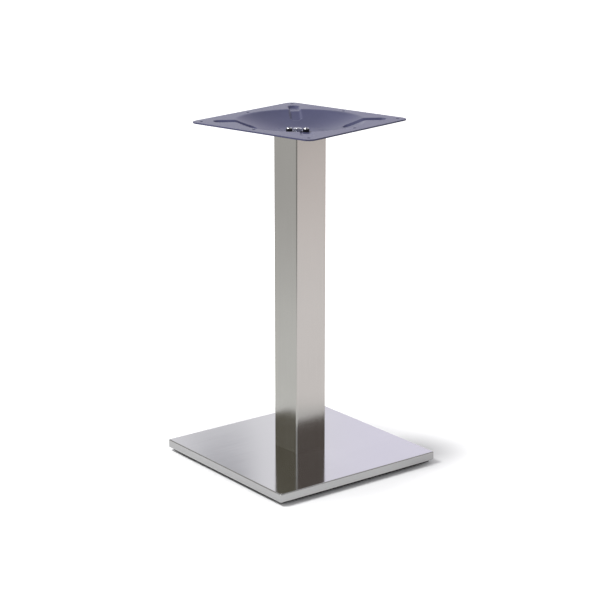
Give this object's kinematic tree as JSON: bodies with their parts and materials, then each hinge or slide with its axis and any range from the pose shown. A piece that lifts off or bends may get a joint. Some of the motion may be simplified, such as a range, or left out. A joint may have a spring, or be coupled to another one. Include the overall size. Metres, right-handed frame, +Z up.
{
  "type": "square table pedestal",
  "caption": "Table pedestal: weighted square base with a folded steel cover, square column, and a dished top plate with screw holes; levelling feet below.",
  "frame": {"origin": "middle of the floor under the base, in the plane of the foot pads' undersides", "axes": "+Z up along the column; X and Y along the sides of the base and column"},
  "size_m": [0.4, 0.4, 0.72],
  "materials": {
    "cover_steel": "brushed stainless sheet",
    "column_steel": "brushed stainless tube",
    "cast_iron": "black paint on the casting",
    "grey_coating": "semi-gloss grey-blue coating",
    "plain_steel": "plain mill steel",
    "black_screw": "black oxide",
    "zinc": "bright zinc plating",
    "foot_plastic": "moulded black"
  },
  "bodies": {
    "pedestal": {"ballast_plate": "cast_iron", "base_cover": "cover_steel", "column_head_plate": "plain_steel", "column_tube": "column_steel", "plate_screw_left": "black_screw", "plate_screw_right": "black_screw", "tie_rod": "zinc", "tie_rod_bottom_nut": "zinc", "tie_rod_bottom_washer": "zinc", "tie_rod_top_nut": "zinc", "tie_rod_top_washer": "zinc", "top_plate": "grey_coating"},
    "pad_1": {"foot_pad_1": "foot_plastic"},
    "stud_1": {"foot_stud_1": "zinc"},
    "pad_2": {"foot_pad_2": "foot_plastic"},
    "stud_2": {"foot_stud_2": "zinc"},
    "pad_3": {"foot_pad_3": "foot_plastic"},
    "stud_3": {"foot_stud_3": "zinc"},
    "pad_4": {"foot_pad_4": "foot_plastic"},
    "stud_4": {"foot_stud_4": "zinc"}
  },
  "joints": [
    {"name": "foot_extend_1", "type": "slide", "parent": "pedestal", "child": "pad_1", "axis": [0, 0, -1], "range_m": [0, 0.006]},
    {"name": "foot_turn_1", "type": "hinge", "parent": "pad_1", "child": "stud_1", "pos_m": [-0.1496, -0.1496, 0], "axis": [0, 0, -1], "range_deg": [0, 1800]},
    {"name": "foot_extend_2", "type": "slide", "parent": "pedestal", "child": "pad_2", "axis": [0, 0, -1], "range_m": [0, 0.006]},
    {"name": "foot_turn_2", "type": "hinge", "parent": "pad_2", "child": "stud_2", "pos_m": [-0.1496, 0.1496, 0], "axis": [0, 0, -1], "range_deg": [0, 1800]},
    {"name": "foot_extend_3", "type": "slide", "parent": "pedestal", "child": "pad_3", "axis": [0, 0, -1], "range_m": [0, 0.006]},
    {"name": "foot_turn_3", "type": "hinge", "parent": "pad_3", "child": "stud_3", "pos_m": [0.1496, -0.1496, 0], "axis": [0, 0, -1], "range_deg": [0, 1800]},
    {"name": "foot_extend_4", "type": "slide", "parent": "pedestal", "child": "pad_4", "axis": [0, 0, -1], "range_m": [0, 0.006]},
    {"name": "foot_turn_4", "type": "hinge", "parent": "pad_4", "child": "stud_4", "pos_m": [0.1496, 0.1496, 0], "axis": [0, 0, -1], "range_deg": [0, 1800]}
  ],
  "couplings": [
    {"joint": "foot_turn_1", "follows": "foot_extend_1", "rad_per_m": 5026.5},
    {"joint": "foot_turn_2", "follows": "foot_extend_2", "rad_per_m": 5026.5},
    {"joint": "foot_turn_3", "follows": "foot_extend_3", "rad_per_m": 5026.5},
    {"joint": "foot_turn_4", "follows": "foot_extend_4", "rad_per_m": 5026.5}
  ]
}
